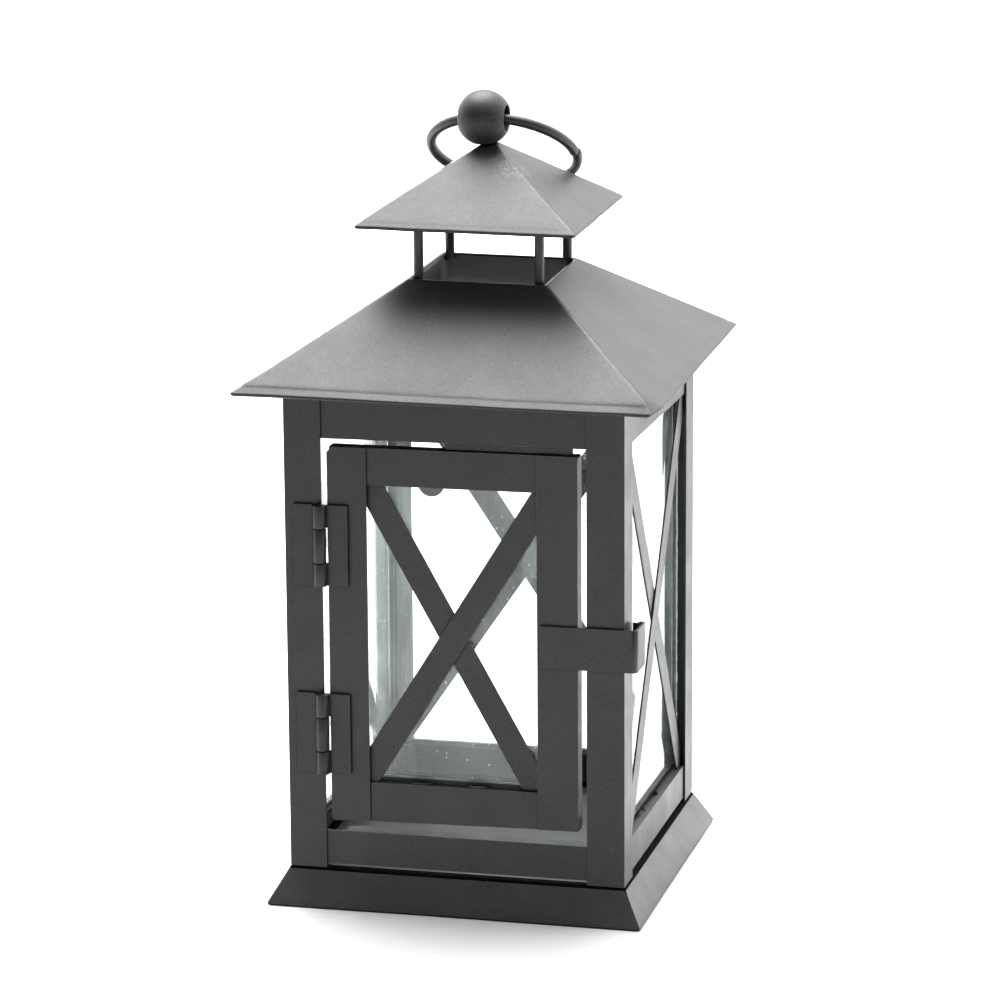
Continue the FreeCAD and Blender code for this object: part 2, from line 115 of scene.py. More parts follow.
def rgb(r, g, b):
    return (r, g, b, 1.0)


# ------------------------------------------------------------------ materials
def paint(name, base=(0.0165, 0.0155, 0.0157), rough=0.42, dust=0.10, speck=1.0, wear=0.5, grain=1.0, seed=0.0,
          roof=False, cloudy=1.0, top_rough=0.0, dull_above=0.0, walls=False):
    """Satin grey spray paint on sheet steel: fine grain, soft orange peel, dust, a little wear with painted highlight
    on the edges, and painted shade in the creases.
    """
    t = Tree(name)
    v = t.mm(shift=(seed * 37.0, seed * 11.0, seed * 23.0))
    geo = t.add("ShaderNodeNewGeometry")
    sep = t.add("ShaderNodeSeparateXYZ")
    t.nt.links.new(geo.outputs["Normal"], sep.inputs[0])
    up = t.step(sep.outputs["Z"], 0.1, 0.9)

    cloud = t.noise(v, 0.045, 3.0, 0.55)
    blotch = t.noise(v, 0.35, 4.0, 0.6)
    fine = t.noise(v, 2.4, 3.0, 0.6)
    tone = t.math("ADD", t.step(cloud, 0.3, 0.7, 1.0 - 0.07 * cloudy, 1.0 + 0.07 * cloudy), t.math("MULTIPLY", t.math("SUBTRACT", fine, 0.5), 0.55 * grain))
    tone = t.math("ADD", tone, t.math("MULTIPLY", t.math("SUBTRACT", blotch, 0.5), 0.10))
    shade = t.add("ShaderNodeVectorMath", operation="SCALE")
    shade.inputs[0].default_value = base
    t.put(shade.inputs["Scale"], tone)
    col = shade.outputs[0]

    # dark scuffs and handling marks, a few and small
    marks = t.noise(t.mm(scale=(260.0, 260.0, 620.0), shift=(seed * 5.0, seed * 3.0, 0.0)), 0.9, 5.0, 0.7, 1.4)
    marks = t.math("MULTIPLY", t.step(marks, 0.69, 0.76), 0.65)
    col = t.mix(marks, col, rgb(0.007, 0.0065, 0.0065))

    # film of dust on faces that look up, thicker in cloudy patches
    film = t.math("MULTIPLY", t.step(t.noise(v, 0.11, 4.0, 0.62), 0.32, 0.75, 1.0 - 0.75 * cloudy, 1.0), dust)
    film = t.math("MULTIPLY", film, t.math("MULTIPLY_ADD", up, 0.85, 0.15))
    col = t.mix(film, col, rgb(0.23, 0.23, 0.225))

    # specks: one small grain in some of the cells
    cells = t.cells(v, 0.30)
    pick = t.add("ShaderNodeSeparateColor")
    t.nt.links.new(cells.outputs["Color"], pick.inputs[0])
    radius = t.math("MULTIPLY", t.step(pick.outputs[0], 0.55, 1.0), 0.062)
    dot = t.math("LESS_THAN", cells.outputs["Distance"], radius)
    dot = t.math("MULTIPLY", dot, t.math("MULTIPLY", t.math("MULTIPLY_ADD", up, 0.75, 0.25), speck), clamp=True)
    cells2 = t.cells(v, 0.85)
    pick2 = t.add("ShaderNodeSeparateColor")
    t.nt.links.new(cells2.outputs["Color"], pick2.inputs[0])
    radius2 = t.math("MULTIPLY", t.step(pick2.outputs[1], 0.66, 1.0), 0.15)
    dot2 = t.math("LESS_THAN", cells2.outputs["Distance"], radius2)
    dot2 = t.math("MULTIPLY", dot2, t.math("MULTIPLY", t.math("MULTIPLY_ADD", up, 0.8, 0.2), 0.5 * speck), clamp=True)
    dots = t.math("MAXIMUM", dot, dot2)
    col = t.mix(t.math("MULTIPLY", dots, 0.55), col, rgb(0.30, 0.30, 0.29))

    # worn edges, partly painted highlight: lighter where a rounded normal leaves the face's own, broken up by noise
    bev = t.add("ShaderNodeBevel", samples=6)
    bev.inputs["Radius"].default_value = 0.00042
    dp = t.add("ShaderNodeVectorMath", operation="DOT_PRODUCT")
    t.nt.links.new(bev.outputs["Normal"], dp.inputs[0])
    t.nt.links.new(geo.outputs["Normal"], dp.inputs[1])
    edge = t.step(t.math("SUBTRACT", 1.0, dp.outputs["Value"]), 0.015, 0.16)
    rub = t.step(t.noise(v, 0.16, 5.0, 0.65), 0.46, 0.66, 0.15, 1.0)
    edge = t.math("MULTIPLY", edge, t.math("MULTIPLY", rub, wear), clamp=True)
    if roof:
        # a lighter line along the hips is painted highlight, strongest towards the eave and broken up by noise
        pos = t.add("ShaderNodeSeparateXYZ")
        t.nt.links.new(t.mm(), pos.inputs[0])
        above = t.math("SUBTRACT", pos.outputs["Z"], 162.8)
        on_cap = t.math("GREATER_THAN", pos.outputs["Z"], 200.0)
        px = t.math("SUBTRACT", pos.outputs["X"], t.math("MULTIPLY", above, 0.0131))
        px = t.math("ADD", px, t.math("MULTIPLY", on_cap, 0.8))
        py = t.math("ADD", pos.outputs["Y"], t.math("MULTIPLY", above, 0.0419))
        off = t.math("ABSOLUTE", t.math("SUBTRACT", t.math("ABSOLUTE", px), t.math("ABSOLUTE", py)))
        off = t.math("ADD", off, t.math("MULTIPLY", t.math("SUBTRACT", t.noise(v, 0.5, 3.0, 0.6), 0.5), 0.7))
        hip = t.math("MULTIPLY", t.step(off, 0.75, 0.15), t.step(t.noise(v, 0.12, 4.0, 0.6), 0.38, 0.60, 0.25, 1.0))
        hip = t.math("MULTIPLY", hip, t.step(t.math("ABSOLUTE", px), 19.0, 34.0, 0.12, 1.0))
        edge = t.math("MAXIMUM", edge, t.math("MULTIPLY", hip, 0.55), clamp=True)
        # a scraped patch on the cap's front right hip
        spot = t.math("MAXIMUM", t.math("ABSOLUTE", t.math("SUBTRACT", px, 9.5)), t.math("ABSOLUTE", t.math("ADD", py, 9.5)))
        spot = t.math("MULTIPLY", t.step(spot, 6.5, 1.5), t.step(t.noise(v, 0.8, 4.0, 0.7), 0.47, 0.62))
        spot = t.math("MULTIPLY", t.math("MULTIPLY", spot, on_cap), t.math("MULTIPLY", up, 0.75))
        edge = t.math("MAXIMUM", edge, spot, clamp=True)
        # painted shade: reflection dimmed along a line in the step above the front hem, strongest towards the left
        out = t.math("SUBTRACT", t.math("MAXIMUM", t.math("ABSOLUTE", px), t.math("ABSOLUTE", py)), 61.3)
        line = t.step(t.math("ABSOLUTE", out), 0.95, 0.3)
        line = t.math("MULTIPLY", line, t.math("GREATER_THAN", t.math("SUBTRACT", 0.0, py), t.math("ABSOLUTE", px)))
        line = t.math("MULTIPLY", line, t.step(px, -25.0, -50.0, 0.45, 1.0))
        line = t.math("MULTIPLY", line, t.step(t.noise(v, 0.06, 3.0, 0.6), 0.30, 0.62, 0.35, 1.0))
        line = t.math("MULTIPLY", line, t.math("SUBTRACT", 1.0, on_cap))
        # the chimney's inside is painted pale, painted light on faces the lamps barely reach, strongest at the back
        painted_chimney_light = t.math("LESS_THAN", t.math("MAXIMUM", t.math("ABSOLUTE", px), t.math("ABSOLUTE", py)), 20.5)
        painted_chimney_light = t.math("MULTIPLY", painted_chimney_light, t.math("SUBTRACT", 1.0, on_cap))
        inside_rim = t.math("LESS_THAN", t.math("SUBTRACT", above, t.math("MULTIPLY", py, 0.0419)), 28.0)
        painted_chimney_light = t.math("MULTIPLY", painted_chimney_light, inside_rim)
        painted_chimney_light = t.math("MULTIPLY", painted_chimney_light, t.step(py, 10.0, 20.0, 0.22, 1.0))
        col = t.mix(t.math("MULTIPLY", painted_chimney_light, 0.9), col, rgb(0.34, 0.33, 0.33))
    # lighter colour on the edges and hips: wear and painted highlight, with the cap's scraped patch
    col = t.mix(edge, col, rgb(0.155, 0.142, 0.128))
    if walls:
        # streaky pale colour inside the back left corner, painted light, and a dull top on the back rail
        w = t.add("ShaderNodeSeparateXYZ")
        t.nt.links.new(t.mm(), w.inputs[0])
        painted_corner_light = t.math("MULTIPLY", t.math("LESS_THAN", sep.outputs["Y"], -0.5), t.math("GREATER_THAN", w.outputs["Y"], 46.0))
        painted_corner_light = t.math("MULTIPLY", painted_corner_light, t.math("LESS_THAN", w.outputs["X"], -40.0))
        streak = t.noise(t.mm(scale=(900.0, 900.0, 14.0), shift=(3.0, 0.0, 0.0)), 1.6, 3.0, 0.6)
        painted_corner_light = t.math("MULTIPLY", painted_corner_light, t.step(streak, 0.35, 0.65, 0.55, 0.95))
        col = t.mix(painted_corner_light, col, rgb(0.32, 0.345, 0.34))
        rear = t.math("GREATER_THAN", w.outputs["Y"], 40.0)
        ledge = t.math("MULTIPLY", t.math("GREATER_THAN", w.outputs["Z"], 30.0), t.math("LESS_THAN", w.outputs["Z"], 60.0))
        rear = t.math("MULTIPLY", t.math("MAXIMUM", rear, ledge), up)

    if dull_above:
        # painted shade: a black line under the rails, along the bend of the floor plate, where the gap lies in shadow
        b = t.add("ShaderNodeSeparateXYZ")
        t.nt.links.new(t.mm(), b.inputs[0])
        painted_gap_shade = t.math("GREATER_THAN", b.outputs["Z"], 10.7)
        far = t.math("MAXIMUM", t.math("ABSOLUTE", b.outputs["X"]), t.math("ABSOLUTE", b.outputs["Y"]))
        painted_gap_shade = t.math("MULTIPLY", painted_gap_shade, t.math("GREATER_THAN", far, 49.5))
        painted_gap_shade = t.math("MULTIPLY", painted_gap_shade, t.step(t.noise(v, 0.5, 3.0, 0.6), 0.74, 0.66, 0.3, 1.0))
        col = t.mix(painted_gap_shade, col, rgb(0.0025, 0.0023, 0.0023))
    # painted shade in the creases, found by ambient occlusion
    ao = t.add("ShaderNodeAmbientOcclusion", samples=6, only_local=False)
    ao.inputs["Distance"].default_value = 0.0016
    painted_crease_shade = t.math("MULTIPLY", t.step(ao.outputs["AO"], 0.84, 0.36), 0.90)
    col = t.mix(painted_crease_shade, col, rgb(0.0035, 0.0032, 0.0032))

    r = t.math("ADD", t.step(t.noise(v, 0.09, 4.0, 0.6), 0.3, 0.7, rough - 0.045 * cloudy, rough + 0.045 * cloudy),
               t.math("MULTIPLY", film, 0.5))
    r = t.math("ADD", r, t.math("MULTIPLY", up, top_rough))
    r = t.math("ADD", r, t.math("MULTIPLY", painted_crease_shade, 0.25))
    if walls:
        r = t.math("ADD", r, t.math("MULTIPLY", rear, 0.55))
    if dull_above:
        z = t.add("ShaderNodeSeparateXYZ")
        t.nt.links.new(t.mm(), z.inputs[0])
        r = t.math("ADD", r, t.math("MULTIPLY", t.math("GREATER_THAN", z.outputs["Z"], dull_above), 0.16))
        r = t.math("ADD", r, t.math("MULTIPLY", painted_gap_shade, 0.6))
    r = t.math("ADD", r, t.math("MULTIPLY", dots, 0.2))
    r = t.math("SUBTRACT", r, t.math("MULTIPLY", edge, 0.06), clamp=True)

    h = t.math("MULTIPLY", t.noise(v, 1.9, 4.0, 0.60), 1.25 * grain)
    h = t.math("ADD", h, t.math("MULTIPLY", t.noise(v, 0.33, 2.0, 0.5), 1.6))
    h = t.math("ADD", h, t.math("MULTIPLY", dots, 1.6))
    bump = t.add("ShaderNodeBump")
    bump.inputs["Strength"].default_value = 0.55
    bump.inputs["Distance"].default_value = 0.000035
    t.put(bump.inputs["Height"], h)

    p = t.add("ShaderNodeBsdfPrincipled")
    t.put(p.inputs["Base Color"], col)
    t.put(p.inputs["Roughness"], r)
    p.inputs["IOR"].default_value = 1.5
    sheen = t.math("ADD", t.math("MULTIPLY", t.noise(v, 1.5, 3.0, 0.65), 0.42 * grain), 0.5 - 0.21 * grain)
    if roof:
        # the painted shade line above the hem dims the reflection
        sheen = t.math("MULTIPLY", sheen, t.math("MULTIPLY_ADD", line, -0.16, 1.0))
    if dull_above:
        sheen = t.math("MULTIPLY", sheen, t.math("MULTIPLY_ADD", painted_gap_shade, -0.9, 1.0))
    if walls:
        sheen = t.math("MULTIPLY", sheen, t.math("MULTIPLY_ADD", rear, -0.9, 1.0))
    # reflection dimmed in the creases as painted shade
    t.put(p.inputs["Specular IOR Level"], t.math("SUBTRACT", sheen, t.math("MULTIPLY", painted_crease_shade, 0.4), clamp=True))
    t.put(p.inputs["Normal"], bump.outputs["Normal"])
    t.put(t.out.inputs["Surface"], p.outputs[0])
    return t.mat


def glass(name, veil=0.036, seed=0.0):
    """Float glass with a thin uneven film of dust, a few grains on it, and a dark band along the lower rim near the
    frame.
    """
    t = Tree(name)
    v = t.mm(shift=(seed * 17.0, seed * 29.0, seed * 13.0))
    p = t.add("ShaderNodeBsdfPrincipled")
    p.inputs["Base Color"].default_value = rgb(0.955, 0.985, 0.978)
    p.inputs["Roughness"].default_value = 0.0
    p.inputs["IOR"].default_value = 1.52
    p.inputs["Transmission Weight"].default_value = 1.0

    smear = t.noise(v, 0.055, 5.0, 0.6, 0.8)
    patch = t.step(smear, 0.30, 0.74, 0.45, 1.75)
    mist = t.math("MULTIPLY", patch, veil)
    grit = t.cells(v, 0.62)
    pick = t.add("ShaderNodeSeparateColor")
    t.nt.links.new(grit.outputs["Color"], pick.inputs[0])
    size = t.math("MULTIPLY", t.step(pick.outputs[0], 0.60, 1.0), 0.15)
    dots = t.math("MULTIPLY", t.math("LESS_THAN", grit.outputs["Distance"], size), 0.6)
    fine = t.math("MULTIPLY", t.step(t.noise(v, 3.2, 3.0, 0.7), 0.62, 0.74), 0.07)
    fac = t.math("ADD", t.math("ADD", mist, dots), fine, clamp=True)

    # a dark band over the pane's lower rim, where it stands on its ledge
    at = t.add("ShaderNodeSeparateXYZ")
    t.nt.links.new(t.mm(), at.inputs[0])
    in_door = t.math("LESS_THAN", at.outputs["Y"], -47.5)
    height = t.math("SUBTRACT", at.outputs["Z"], t.math("MULTIPLY", in_door, 15.9))
    height = t.math("ADD", height, t.math("MULTIPLY", t.math("SUBTRACT", t.noise(v, 0.25, 3.0, 0.6), 0.5), 0.5))
    rim = t.step(height, 25.45, 25.05)
    fac = t.math("MAXIMUM", fac, t.math("MULTIPLY", rim, 0.9))
    haze = t.mix(rim, rgb(0.80, 0.83, 0.82), rgb(0.030, 0.030, 0.030))

    dif = t.add("ShaderNodeBsdfDiffuse")
    t.put(dif.inputs["Color"], haze)
    tra = t.add("ShaderNodeBsdfTranslucent")
    t.put(tra.inputs["Color"], haze)
    film = t.add("ShaderNodeMixShader")
    film.inputs[0].default_value = 0.5
    t.nt.links.new(dif.outputs[0], film.inputs[1])
    t.nt.links.new(tra.outputs[0], film.inputs[2])
    body = t.add("ShaderNodeMixShader")
    t.put(body.inputs[0], fac)
    t.nt.links.new(p.outputs[0], body.inputs[1])
    t.nt.links.new(film.outputs[0], body.inputs[2])

    path = t.add("ShaderNodeLightPath")
    clear = t.add("ShaderNodeBsdfTransparent")
    clear.inputs["Color"].default_value = rgb(0.93, 0.965, 0.955)
    top = t.add("ShaderNodeMixShader")
    t.nt.links.new(path.outputs["Is Shadow Ray"], top.inputs[0])
    t.nt.links.new(body.outputs[0], top.inputs[1])
    t.nt.links.new(clear.outputs[0], top.inputs[2])
    t.nt.links.new(top.outputs[0], t.out.inputs["Surface"])

    tint = t.add("ShaderNodeVolumeAbsorption")
    tint.inputs["Color"].default_value = rgb(0.62, 0.86, 0.80)
    tint.inputs["Density"].default_value = 22.0
    t.nt.links.new(tint.outputs[0], t.out.inputs["Volume"])
    return t.mat


def steel(name):
    """Zinc-plated screw steel, turned and a little dull."""
    t = Tree(name)
    v = t.mm()
    turned = t.mm(scale=(300.0, 300.0, 6000.0))
    n1 = t.noise(v, 0.9, 4.0, 0.6)
    n2 = t.noise(turned, 1.0, 2.0, 0.5)
    col = t.mix(t.step(n1, 0.3, 0.7), rgb(0.40, 0.395, 0.38), rgb(0.52, 0.515, 0.50))
    p = t.add("ShaderNodeBsdfPrincipled")
    t.put(p.inputs["Base Color"], col)
    p.inputs["Metallic"].default_value = 1.0
    t.put(p.inputs["Roughness"], t.step(n2, 0.2, 0.8, 0.28, 0.46))
    bump = t.add("ShaderNodeBump")
    bump.inputs["Strength"].default_value = 0.4
    bump.inputs["Distance"].default_value = 0.00003
    t.put(bump.inputs["Height"], n2)
    t.put(p.inputs["Normal"], bump.outputs["Normal"])
    t.put(t.out.inputs["Surface"], p.outputs[0])
    return t.mat


MATS = {
    "frame_paint": paint("frame_paint_satin", seed=0.0, dust=0.06, speck=0.55, wear=0.55, top_rough=0.12, walls=True),
    # a lighter copy of the same grey paint, painted light on the base
    "base_paint": paint("base_paint_satin", base=(0.044, 0.041, 0.041), seed=1.0, dust=0.09, speck=1.0, wear=0.55, dull_above=11.25),
    "roof_paint": paint("roof_paint_satin", seed=2.0, dust=0.10, speck=1.0, wear=0.50, grain=1.25, roof=True, cloudy=0.35, rough=0.455),
    "ball_paint": paint("ball_paint_satin", base=(0.0135, 0.0128, 0.0128), seed=3.0, dust=0.05, speck=0.4, wear=0.40,
                        grain=1.6, rough=0.50),
    # a darker copy of the same grey paint, painted shade on the wire parts
    "wire_paint": paint("wire_paint_satin", base=(0.0138, 0.0128, 0.0126), seed=4.0, dust=0.03, speck=0.3, wear=0.35,
                        rough=0.40),
    "hardware_paint": paint("hardware_paint_satin", seed=5.0, dust=0.05, speck=0.5, wear=0.60, rough=0.44),
    "screw_steel": steel("screw_zinc"),
    "pane_glass": glass("pane_glass_float"),
}
HAZY = glass("pane_glass_hazy", veil=0.15, seed=2.0)


# ------------------------------------------------------------------ mesh helpers
def new_piece(name, verts, faces, slot_name, body, stands_for=(), sharp=38.0):
    # faces look outwards
    volume = 0.0
    for f in faces:
        first = Vector(verts[f[0]])
        for i in range(1, len(f) - 1):
            volume += first.dot(Vector(verts[f[i]]).cross(Vector(verts[f[i + 1]])))
    if volume < 0:
        faces = [tuple(reversed(f)) for f in faces]
    me = bpy.data.meshes.new(name)
    me.from_pydata([(x * MM, y * MM, z * MM) for x, y, z in verts], [], faces)
    me.validate()
    for p in me.polygons:
        p.use_smooth = True
    me.set_sharp_from_angle(angle=math.radians(sharp))
    me.materials.append(MATS[slot_name])
    ob = bpy.data.objects.new(name, me)
    scene.collection.objects.link(ob)
    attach(ob, body)
    if stands_for:
        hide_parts(*stands_for)
    return ob


def line_with_bends(points, radii, seg=5):
    """Plane line through points whose inner corners are arcs of the given radii."""
    P = [Vector(p) for p in points]
    out = [P[0]]
    for i in range(1, len(P) - 1):
        a, b, c = P[i - 1], P[i], P[i + 1]
        d1, d2 = (b - a).normalized(), (c - b).normalized()
        cross = d1.x * d2.y - d1.y * d2.x
        turn = math.atan2(abs(cross), d1.dot(d2))
        r = radii[i - 1]
        tl = r * math.tan(turn / 2)
        side = 1.0 if cross > 0 else -1.0
        t1 = b - d1 * tl
        centre = t1 + Vector((-d1.y, d1.x)) * side * r
        n = max(2, int(round(seg * turn / (math.pi / 2))))
        start = t1 - centre
        for k in range(n + 1):
            ang = side * turn * k / n
            out.append(centre + Vector((start.x * math.cos(ang) - start.y * math.sin(ang),
                                        start.x * math.sin(ang) + start.y * math.cos(ang))))
    out.append(P[-1])
    return out


def split_long(line, most):
    out = [line[0]]
    for a, b in zip(line, line[1:]):
        n = max(1, int(math.ceil((b - a).length / most)))
        out += [a + (b - a) * k / n for k in range(1, n + 1)]
    return out


def sheet_outline(line, t):
    """Closed outline of a sheet of thickness t along a line, with slightly rounded cut ends."""
    n = len(line)
    left, right = [], []
    for i, p in enumerate(line):
        d = (line[min(i + 1, n - 1)] - line[max(i - 1, 0)]).normalized()
        nrm = Vector((-d.y, d.x))
        left.append(p + nrm * t / 2)
        right.append(p - nrm * t / 2)
    d0 = (line[0] - line[1]).normalized()
    d1 = (line[-1] - line[-2]).normalized()
    k = 0.16 * t
    left[0] = left[0] - d0 * k
    right[0] = right[0] - d0 * k
    left[-1] = left[-1] - d1 * k
    right[-1] = right[-1] - d1 * k
    n0 = Vector((-d0.y, d0.x)) * t * 0.34
    n1 = Vector((-d1.y, d1.x)) * t * 0.34
    return left + [line[-1] + n1, line[-1] - n1] + right[::-1] + [line[0] + n0, line[0] - n0]


def square_loop(half, corner, per_side, per_corner):
    """Points round a square with rounded corners, counter-clockwise from the middle of the +X side's low end."""
    corner = max(0.02, min(corner, half * 0.98))
    flat = half - corner
    pts = []
    for q in range(4):
        a = q * math.pi / 2
        ca, sa = math.cos(a), math.sin(a)
        side = [(half, -flat + 2 * flat * k / per_side) for k in range(per_side)]
        arc = [(flat + corner * math.cos(b), flat + corner * math.sin(b))
               for b in [(math.pi / 2) * k / per_corner for k in range(per_corner)]]
        for x, y in side + arc:
            pts.append((x * ca - y * sa, x * sa + y * ca))
    return pts


def swept_square(outline, corner_of, per_side=24, per_corner=6, shake=None):
    """Closed ring: the outline (distance from the axis, height) carried round a square."""
    verts, faces = [], []
    count = None
    for p in outline:
        loop = square_loop(p.x, corner_of(p), per_side, per_corner)
        count = len(loop)
        for x, y in loop:
            z = p.y + (shake(x, y, p) if shake else 0.0)
            verts.append((x, y, z))
    n = len(outline)
    for i in range(n):
        j = (i + 1) % n
        for k in range(count):
            m = (k + 1) % count
            faces.append((i * count + k, j * count + k, j * count + m, i * count + m))
    return verts, faces


def ripple(x, y, size, seed):
    return noise.noise(Vector((x / size + seed, y / size - seed * 0.7, seed * 1.3)))


# ------------------------------------------------------------------ frame nodes that keep their CAD shape
BEVELS = {"glass": 0.10, "pin": 0.08, "door": 0.14, "strap": 0.14}


def dress(name, width):
    ob = NODES[name]
    w = ob.modifiers.new("weld", "WELD")
    w.merge_threshold = 0.000002
    d = ob.modifiers.new("flat_faces", "DECIMATE")
    d.decimate_type = "DISSOLVE"
    d.angle_limit = math.radians(0.6)
    d.use_dissolve_boundaries = False
    b = ob.modifiers.new("soft_edges", "BEVEL")
    b.width = width * MM
    b.segments = 2
    b.limit_method = "ANGLE"
    b.angle_limit = math.radians(32)
    b.harden_normals = True
    b.use_clamp_overlap = True
    return ob


REPLACED = {"main_roof", "upper_cap", "base_pan", "ball_finial", "carry_ring"}
for node_name, ob in NODES.items():
    for s in ob.material_slots:
        key = s.material.name.split(".")[0] if s.material else "frame_paint"
        s.material = MATS.get(key, MATS["frame_paint"])
    if node_name in REPLACED:
        continue
    if node_name.startswith("glass") or node_name == "door_glass":
        dress(node_name, 0.25)
        if node_name == "glass_left":
            for s in ob.material_slots:
                s.material = HAZY
    elif node_name.endswith("_pin"):
        dress(node_name, 0.06)
    else:
        dress(node_name, 0.13)


# ------------------------------------------------------------------ main roof
SHEET = 0.6
EAVE, EAVE_Z = 64.25, 162.8
RIM, RIM_Z = 20.95, 191.5
LIP = 10.0
CAP_X = -0.8
# the roof and all it carries lean a little to the door side and to the right
LEAN = (Matrix.Translation((0, 0, EAVE_Z)) @ Matrix.Rotation(math.radians(0.75), 4, "Y")
        @ Matrix.Rotation(math.radians(2.4), 4, "X") @ Matrix.Translation((0, 0, -EAVE_Z)))


def leaned(verts, dx=0.0):
    return [tuple(LEAN @ Vector((x + dx, y, z))) for x, y, z in verts]


def folded_roof(eave, eave_z, top, top_z, hem, t, lift, flare, jog):
    """Centre line of a roof sheet from the hem's inner end, round the eave fold and up the slope."""
    u = (Vector((top, top_z)) - Vector((eave, eave_z))).normalized()
    n = Vector((-u.y, u.x)) * -1.0 if u.x < 0 and u.y > 0 and False else Vector((u.y, -u.x))
    if n.y < 0:
        n = -n
    fold = t / 2 + 0.04
    outer = fold + t / 2
    cx = eave - outer
    # the slope's top face passes lift above the sharp eave line
    top_eave = Vector((eave, eave_z + lift))
    s = (eave - outer * (1 - 0.0) + 0.0 - eave + outer * n.x) / u.x
    centre = top_eave + u * max(s, 0.0) - n * outer
    centre.x = cx
    line = []
    hem_start = centre - n * fold + u * hem
    line.append(hem_start)
    line.append(centre - n * fold + u * 0.25)
    base = math.atan2(-n.y, -n.x)
    for k in range(1, 12):
        a = base + math.pi * k / 12
        line.append(centre + Vector((math.cos(a), math.sin(a))) * fold)
    a0 = centre + n * fold
    line.append(a0 + u * 0.1)
    # a soft step where the slope rises out of the band along the hem
    line.append(a0 + u * (jog - 0.9) - n * flare * 0.14)
    line.append(a0 + u * (jog - 0.5) - n * flare * 0.10)
    line.append(a0 + u * (jog - 0.1) + n * flare * 0.35)
    line.append(a0 + u * (jog + 0.3) + n * flare * 0.80)
    line.append(a0 + u * (jog + 0.7) + n * flare)
    line.append(a0 + u * (jog + 1.8) + n * flare)
    return line, u, n, a0


def build_main_roof():
    t = SHEET
    line, u, n, a0 = folded_roof(EAVE, EAVE_Z, RIM, RIM_Z, 4.2, t, 0.30, 0.16, 2.85)
    crest = Vector((RIM - 0.3, RIM_Z - 0.3 + 0.12))
    tail = line_with_bends([line[-1], crest, Vector((RIM - 0.3, RIM_Z - LIP))], [0.75], seg=6)
    line = line[:-1] + tail
    line = split_long(line, 4.0)
    outline = sheet_outline(line, t)

    def corner_of(p):
        if p.x < RIM + 0.6:
            return 1.1
        return 1.25

    def shake(x, y, p):
        d = max(abs(x), abs(y))
        w = min(1.0, max(0.0, (d - 22.0) / 10.0)) * min(1.0, max(0.0, (66.0 - d) / 6.0))
        z = w * (0.20 * ripple(x, y, 26.0, 3.1) + 0.07 * ripple(x, y, 9.0, 7.7))
        if d > 60:
            z += 0.14 * ripple(x, y, 17.0, 1.9)
        # the hem's step is deeper in some stretches than in others
        if d > 60.9:
            side = min(1.0, max(0.0, (x - abs(y) + 2.0) / 4.0))
            z += 0.17 * side * min(1.0, (d - 60.9) / 1.3)
        step = math.exp(-((d - 61.6) / 0.8) ** 2) if p.y > EAVE_Z + 0.7 else 0.0
        z += step * 0.16 * ripple(x, y, 33.0, 6.1)
        # the middles of the slopes sag a little between the hips
        hip = abs(abs(x) - abs(y)) / max(d, 1.0)
        return z - 0.18 * hip * w

    verts, faces = swept_square(outline, corner_of, per_side=30, per_corner=7, shake=shake)
    # the eave's front right corner is knocked in a little and turned down
    pressed = []
    for x, y, z in verts:
        d = math.hypot(x - 65.0, y + 65.0)
        w = max(0.0, 1.0 - d / 11.0)
        w = w * w * (3 - 2 * w)
        # and its front left one is drawn out
        q = max(0.0, 1.0 - math.hypot(x + 65.0, y + 65.0) / 14.0)
        q = q * q * (3 - 2 * q)
        pressed.append((x - 1.7 * w - 1.1 * q, y + 0.9 * w - 0.8 * q, z - 0.25 * w - 0.1 * q))
    verts = pressed
    return new_piece("roof_shell", leaned(verts), faces, "roof_paint", "lantern", ["main_roof"], sharp=50)


def build_cap():
    t = SHEET
    e, ez = 34.15, 208.5
    line, u, n, a0 = folded_roof(e, ez, 2.25, 229.95, 2.6, t, 0.61, 0.05, 1.7)
    crest = Vector((2.1, 229.95 - 0.3))
    tail = line_with_bends([line[-1], crest, Vector((1.42, 229.95 - 0.3))], [0.9], seg=5)
    line = line[:-1] + tail
    line = split_long(line, 3.0)
    outline = sheet_outline(line, t)

    def corner_of(p):
        if p.x < 2.0:
            return p.x * 0.95
        return 0.95

    def shake(x, y, p):
        d = max(abs(x), abs(y))
        w = min(1.0, max(0.0, (d - 4.0) / 8.0))
        z = w * (0.13 * ripple(x, y, 15.0, 12.4) + 0.05 * ripple(x, y, 6.0, 5.2))
        return z

    verts, faces = swept_square(outline, corner_of, per_side=22, per_corner=6, shake=shake)
    return new_piece("cap_shell", leaned(verts, CAP_X), faces, "roof_paint", "lantern", ["upper_cap"], sharp=50)


# ------------------------------------------------------------------ paint closing the slots under two rails
def build_seams():
    for name, turned in (("rail_seam_back", False), ("rail_seam_left", True)):
        verts, faces = [], []
        n = 64
        for i in range(n + 1):
            a = -48.5 + 97.0 * i / n
            low = 11.25 + 0.05 * math.sin(a * 1.9) + 0.04 * math.sin(a * 0.7 + 1.0)
            high = 12.95 + 0.06 * math.sin(a * 1.3 + 0.5)
            bulge = 0.05 * math.sin(a * 0.9) + 0.04 * math.sin(a * 2.3)
            for out, z in ((51.42, low), (51.36 + bulge * 0.4, 0.5 * (low + high)), (51.42, high),
                           (51.80, high), (51.84 + bulge * 0.4, 0.5 * (low + high)), (51.80, low)):
                verts.append((-out, a, z) if turned else (a, out, z))
        for i in range(n):
            for k in range(6):
                p, q = 6 * i + k, 6 * i + (k + 1) % 6
                faces.append((p, q, q + 6, p + 6))
        faces.append(tuple(range(5, -1, -1)))
        faces.append(tuple(6 * n + k for k in range(6)))
        if not turned:
            faces = [tuple(reversed(f)) for f in faces]
        new_piece(name, verts, faces, "base_paint", "lantern")


